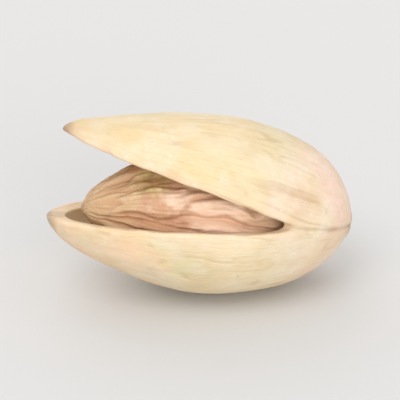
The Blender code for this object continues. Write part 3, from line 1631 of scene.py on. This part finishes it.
@dataclass(frozen=True)
class KernelFinish:
    """Thin seed skin, rosy in the middle, tan at its tip, greyish tan at its stem end as painted
    shade, and worn to green in places.

    The colours come first, and then where and how strongly each one shows.
    """

    rose: Colour = paint(250, 216, 188)
    tan: Colour = paint(242, 202, 166)
    # Brown of the skin's streaks and band, also painted as shade in the furrows and the cleft
    brown_and_crease_shade: Colour = paint(186, 134, 98)
    purple: Colour = paint(172, 118, 104)
    # Painted shade: a greyish tan for the kernel's stem end, deep in the gape
    wood: Colour = paint(236, 208, 176)
    husk: Colour = paint(204, 171, 128)
    flesh: Colour = paint(208, 196, 118)
    olive: Colour = paint(160, 140, 80)
    # Pale dust, kept off the furrows so that it is also a painted highlight on the ridges
    dust_and_ridge_highlight: Colour = paint(250, 228, 204)

    # Broad colours of the skin
    tanned: Patches = Patches(Cloud(2.6, 3.0), Zone(0.40, 0.62))
    streaks: Patches = Patches(Cloud(0.45, 3.0, 0.6, 7.0), Zone(0.50, 0.74, 0.35))
    blotches: Patches = Patches(Cloud(2.2, 4.0, 0.6, 17.0), Zone(0.50, 0.70, 0.32))
    drift: Cloud = Cloud(2.0, 2.0, 0.5, 19.0)
    middle: float = 0.5
    drift_share: float = 0.4
    # Where the painted shade of the kernel's stem end shows
    stem_end: Zone = Zone(0.42, 0.22, 0.7)
    band_start: Zone = Zone(0.60, 0.70)
    band_end: Zone = Zone(0.88, 0.76, 0.70)
    tip_end: Zone = Zone(0.72, 0.86, 0.85)

    # Worn spots, painted shade in the wrinkles, and a dusting kept to the ridges as partly painted
    # highlight
    patchy: Patches = Patches(Cloud(1.1, 3.0, 0.6, 59.0), Zone(0.40, 0.60))
    worn_least: float = 0.35
    rubbed: Patches = Patches(Cloud(0.6, 4.0, 0.65, 29.0), Zone(0.36, 0.60, 0.60))
    # How strongly the furrows and the cleft are darkened as painted shade
    furrow_line: float = 0.45
    # Dust patches kept off the furrows: partly dust, partly a painted highlight on the ridges
    ridge_highlight_dust: Patches = Patches(Cloud(0.45, 3.0, 0.6, 37.0), Zone(0.48, 0.70, 0.28))

    # Bump and gloss
    ribs: Cloud = Cloud(0.16, 3.0, 0.6, 41.0, 0.6)
    pores: Cloud = Cloud(0.2, 2.0, 0.5, 43.0, 0.4)
    bump_depth: float = 0.07 * MM
    roughness: float = 0.42
    uneven_gloss: Cloud = Cloud(0.9, 2.0, 0.5, 53.0, 0.2)
    refraction: float = 1.45

    def skin(self, tree: MaterialTree, place: Signal, grain: Signal) -> Signal:
        """Mixes the colour of the whole skin.

        Args:
            tree: The material's tree.
            place: Where a point lies, in millimetres.
            grain: Coordinates along the kernel's meridians.

        Returns:
            The colour.
        """
        colour = tree.tint(tree.patches(place, self.tanned), self.rose, self.tan)
        colour = tree.tint(tree.patches(grain, self.streaks), colour, self.brown_and_crease_shade)
        colour = tree.tint(tree.patches(place, self.blotches), colour, self.purple)
        drift = (tree.cloud(place, self.drift) - self.middle) * self.drift_share
        along = tree.kept("along") + drift
        # Painted shade at the kernel's stem end
        colour = tree.tint(tree.zone(along, self.stem_end), colour, self.wood)
        band = tree.zone(along, self.band_start) * tree.zone(along, self.band_end)
        colour = tree.tint(band, colour, self.brown_and_crease_shade)
        return tree.tint(tree.zone(along, self.tip_end), colour, self.husk)

    def material(self) -> bpy.types.Material:
        """Makes the material.

        Returns:
            The finished material, for the whole kernel.
        """
        tree = MaterialTree("kernel_skin")
        place = tree.place()
        grain = tree.kept_vector("grain")
        furrow = tree.kept("furrow")
        flesh = tree.tint(tree.patches(place, self.patchy), self.olive, self.flesh)
        worn = tree.kept("worn") * (self.worn_least + tree.patches(place, self.rubbed))
        colour = tree.tint(worn, self.skin(tree, place, grain), flesh)
        # Painted shade in the furrows and the cleft
        colour = tree.tint(furrow * self.furrow_line, colour, self.brown_and_crease_shade)
        # Dust kept off the furrows: partly dust, partly a painted highlight on the ridges
        colour = tree.tint(tree.patches(place, self.ridge_highlight_dust) * (1 - furrow), colour, self.dust_and_ridge_highlight)
        height = tree.cloud(grain, self.ribs) + tree.cloud(place, self.pores)
        return tree.finish(
            Base_Color=colour,
            Roughness=self.roughness + tree.cloud(place, self.uneven_gloss),
            Normal=tree.bump(height, self.bump_depth),
            IOR=self.refraction,
        )


@dataclass(frozen=True)
class FloorFinish:
    """Plain pale studio floor."""

    white: Colour = paint(211, 210, 209)
    roughness: float = 0.85

    def material(self) -> bpy.types.Material:
        """Returns the finished material."""
        return MaterialTree("studio_floor").finish(Base_Color=self.white, Roughness=self.roughness)


# ---------------------------------------------------------------- studio


@dataclass(frozen=True)
class SoftLight:
    """One large, soft and distant light.

    Attributes:
        name: The light's name.
        azimuth: Where it stands round the nut, 0 at -Y and 90 at +X, in degrees.
        elevation: How high it stands, in degrees.
        spread: How wide it looks from the nut, in degrees.
        strength: What it gives a surface that faces it, in watts per square metre.
    """

    name: str
    azimuth: float
    elevation: float
    spread: float
    strength: float


@dataclass
class Studio:
    """The floor, the soft lights and the camera.

    Attributes:
        target: What the camera and the lights point at.
        floor_size: The side of the floor.
        azimuth: Where the camera stands round the nut, 0 at -Y and 90 at +X, in degrees.
        elevation: How high it stands, in degrees.
        view_width: How wide a strip it sees at the target.
        lens: Its focal length, in the units of the sensor.
        sensor: The width of its sensor.
        clip: The nearest and the farthest that it sees.
        lights: The soft lights.
        lamp_distance: How far the lights stand off.
        sky: The sky's colour.
        sky_strength: The sky's strength.
    """

    target: Vector
    floor_size: float = 6.0
    azimuth: float = -10.0
    elevation: float = 24.0
    view_width: float = 27.5 * MM
    lens: float = 200.0
    sensor: float = 36.0
    clip: Span = (10.0 * MM, 20.0)
    lights: tuple[SoftLight, ...] = (
        SoftLight("key", -38.0, 54.0, 36.0, 0.76),
        SoftLight("front", 8.0, 13.0, 40.0, 1.36),
        SoftLight("back", 190.0, 42.0, 50.0, 0.45),
    )
    lamp_distance: float = 1.0
    sky: Colour = (1.0, 1.0, 1.0, 1.0)
    sky_strength: float = 0.84

    def direction(self, azimuth: float, elevation: float) -> Vector:
        """Finds the direction of a place round the target.

        Args:
            azimuth: Where the place is round it, 0 at -Y and 90 at +X, in degrees.
            elevation: How high it is, in degrees.

        Returns:
            The unit vector from the target towards the place.
        """
        turn, rise = math.radians(azimuth), math.radians(elevation)
        level = math.cos(rise)
        return Vector((math.sin(turn) * level, -math.cos(turn) * level, math.sin(rise)))

    def aim(self, obj: bpy.types.Object, towards: Vector, distance: float) -> None:
        """Stands a light or camera off from the target and points it there.

        Args:
            obj: The light or camera.
            towards: The unit vector from the target to where it stands.
            distance: How far away it stands.
        """
        obj.location = self.target + towards * distance
        obj.rotation_euler = towards.to_track_quat("Z", "Y").to_euler()

    def lay_floor(self) -> bpy.types.Object:
        """Lays the floor under the nut.

        Returns:
            The floor.
        """
        bpy.ops.mesh.primitive_plane_add(size=self.floor_size)
        floor = bpy.context.active_object
        floor.name = floor.data.name = "studio_floor"
        floor.data.materials.append(FloorFinish().material())
        return floor

    def hang_lights(self) -> None:
        """Adds the soft lights, and an even pale sky."""
        for lamp in self.lights:
            bpy.ops.object.light_add(type="SUN")
            light = bpy.context.active_object
            light.name = light.data.name = f"{lamp.name}_light"
            light.data.energy = lamp.strength
            light.data.angle = math.radians(lamp.spread)
            self.aim(light, self.direction(lamp.azimuth, lamp.elevation), self.lamp_distance)
        world = bpy.data.worlds.new("studio_sky")
        world.use_nodes = True
        background = world.node_tree.nodes["Background"]
        background.inputs["Color"].default_value = self.sky
        background.inputs["Strength"].default_value = self.sky_strength
        bpy.context.scene.world = world

    def set_camera(self) -> None:
        """Adds the camera, in front of the open side and a little above it."""
        bpy.ops.object.camera_add()
        camera = bpy.context.active_object
        camera.name = camera.data.name = "camera"
        camera.data.lens = self.lens
        camera.data.sensor_width = self.sensor
        camera.data.clip_start, camera.data.clip_end = self.clip
        towards = self.direction(self.azimuth, self.elevation)
        self.aim(camera, towards, self.view_width * self.lens / self.sensor)
        bpy.context.scene.camera = camera

    def build(self) -> None:
        """Sets the whole studio up."""
        bpy.ops.object.select_all(action="DESELECT")
        self.lay_floor()
        self.hang_lights()
        self.set_camera()
        bpy.context.scene.view_settings.view_transform = "Standard"


# ---------------------------------------------------------------- the nut


def place_piece(piece: bpy.types.Object, node: str, material: bpy.types.Material) -> None:
    """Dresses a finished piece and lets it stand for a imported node.

    Args:
        piece: The piece, in place.
        node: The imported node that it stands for.
        material: Its finish.
    """
    piece.data.materials.clear()
    piece.data.materials.append(material)
    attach(piece, BODY)
    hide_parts(node)
    low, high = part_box(node)
    points = points_of(piece)
    off_low = (points.min(axis=0) - np.array(low)) / MM
    off_high = (points.max(axis=0) - np.array(high)) / MM
    triangles = sum(len(face.vertices) - 2 for face in piece.data.polygons)
    log.info("%s: %d triangles, %s and %s mm off its node's box", piece.name, triangles,
             off_low.round(2), off_high.round(2))


def main() -> None:
    """Builds the nut and the studio, and writes how large the nut has become."""
    logging.basicConfig(level=logging.INFO, format="%(message)s")
    low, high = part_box("shell")
    valves = Shell()
    shell = valves.build("opened_shell")
    shift = valves.settle(shell, low, high)
    place_piece(shell, "shell", ShellFinish().material())

    seed = Kernel()
    kernel = seed.build("loose_kernel")
    seed.settle(kernel, valves.pose, shift)
    place_piece(kernel, "kernel", KernelFinish().material())

    Studio(target=(low + high) / 2.0).build()


if __name__ == "__main__":
    main()
